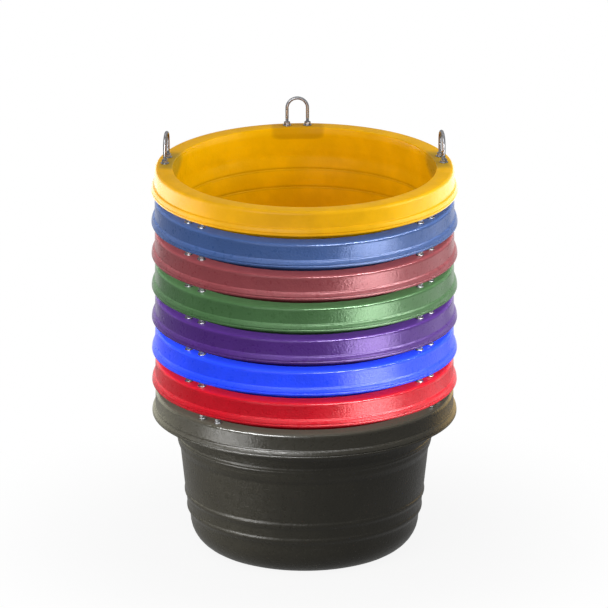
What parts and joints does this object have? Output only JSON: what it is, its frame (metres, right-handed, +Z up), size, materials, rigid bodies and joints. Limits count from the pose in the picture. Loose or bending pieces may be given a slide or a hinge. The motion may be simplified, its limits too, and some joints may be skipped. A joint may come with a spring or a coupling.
{
  "type": "feed tub",
  "caption": "Round plastic livestock feed tubs nested in a stack, each with a flat flange, a flared hollow rim and U-bolt loops for hanging it.",
  "frame": {"origin": "centre of the bottom tub's flat base, on the floor", "axes": "+Z up along the tubs' common axis, which is the way they lift out; -Y is the front, between the lower tubs' left and right U-bolts"},
  "size_m": [0.443, 0.443, 0.6182],
  "materials": {
    "black_plastic": "satin moulded plastic",
    "red_plastic": "satin moulded plastic",
    "blue_plastic": "satin moulded plastic",
    "purple_plastic": "satin moulded plastic",
    "green_plastic": "satin moulded plastic",
    "maroon_plastic": "satin moulded plastic",
    "slate_plastic": "satin moulded plastic",
    "yellow_plastic": "satin moulded plastic",
    "zinc_steel": "bright zinc plated"
  },
  "bodies": {
    "black": {"black_tub": "black_plastic", "black_u_bolt_left": "zinc_steel", "black_u_bolt_right": "zinc_steel", "black_u_bolt_rear": "zinc_steel"},
    "red": {"red_tub": "red_plastic", "red_u_bolt_left": "zinc_steel", "red_u_bolt_right": "zinc_steel", "red_u_bolt_rear": "zinc_steel"},
    "blue": {"blue_tub": "blue_plastic", "blue_u_bolt_left": "zinc_steel", "blue_u_bolt_right": "zinc_steel", "blue_u_bolt_rear": "zinc_steel"},
    "purple": {"purple_tub": "purple_plastic", "purple_u_bolt_left": "zinc_steel", "purple_u_bolt_right": "zinc_steel", "purple_u_bolt_rear": "zinc_steel"},
    "green": {"green_tub": "green_plastic", "green_u_bolt_left": "zinc_steel", "green_u_bolt_right": "zinc_steel", "green_u_bolt_rear": "zinc_steel"},
    "maroon": {"maroon_tub": "maroon_plastic", "maroon_u_bolt_left": "zinc_steel", "maroon_u_bolt_right": "zinc_steel", "maroon_u_bolt_rear": "zinc_steel"},
    "slate": {"slate_tub": "slate_plastic", "slate_u_bolt_left": "zinc_steel", "slate_u_bolt_right": "zinc_steel", "slate_u_bolt_rear": "zinc_steel"},
    "yellow": {"yellow_tub": "yellow_plastic", "yellow_u_bolt_left": "zinc_steel", "yellow_u_bolt_right": "zinc_steel", "yellow_u_bolt_rear": "zinc_steel", "yellow_left_washer_1": "zinc_steel", "yellow_left_top_nut_1": "zinc_steel", "yellow_left_bottom_nut_1": "zinc_steel", "yellow_left_washer_2": "zinc_steel", "yellow_left_top_nut_2": "zinc_steel", "yellow_left_bottom_nut_2": "zinc_steel", "yellow_right_washer_1": "zinc_steel", "yellow_right_top_nut_1": "zinc_steel", "yellow_right_bottom_nut_1": "zinc_steel", "yellow_right_washer_2": "zinc_steel", "yellow_right_top_nut_2": "zinc_steel", "yellow_right_bottom_nut_2": "zinc_steel", "yellow_rear_washer_1": "zinc_steel", "yellow_rear_top_nut_1": "zinc_steel", "yellow_rear_bottom_nut_1": "zinc_steel", "yellow_rear_washer_2": "zinc_steel", "yellow_rear_top_nut_2": "zinc_steel", "yellow_rear_bottom_nut_2": "zinc_steel"}
  },
  "joints": [
    {"name": "lift_red", "type": "slide", "parent": "black", "child": "red", "axis": [0, 0, 1], "range_m": [0, 0.24]},
    {"name": "lift_blue", "type": "slide", "parent": "red", "child": "blue", "axis": [0, 0, 1], "range_m": [0, 0.24]},
    {"name": "lift_purple", "type": "slide", "parent": "blue", "child": "purple", "axis": [0, 0, 1], "range_m": [0, 0.24]},
    {"name": "lift_green", "type": "slide", "parent": "purple", "child": "green", "axis": [0, 0, 1], "range_m": [0, 0.24]},
    {"name": "lift_maroon", "type": "slide", "parent": "green", "child": "maroon", "axis": [0, 0, 1], "range_m": [0, 0.24]},
    {"name": "lift_slate", "type": "slide", "parent": "maroon", "child": "slate", "axis": [0, 0, 1], "range_m": [0, 0.24]},
    {"name": "lift_yellow", "type": "slide", "parent": "slate", "child": "yellow", "axis": [0, 0, 1], "range_m": [0, 0.24]}
  ]
}
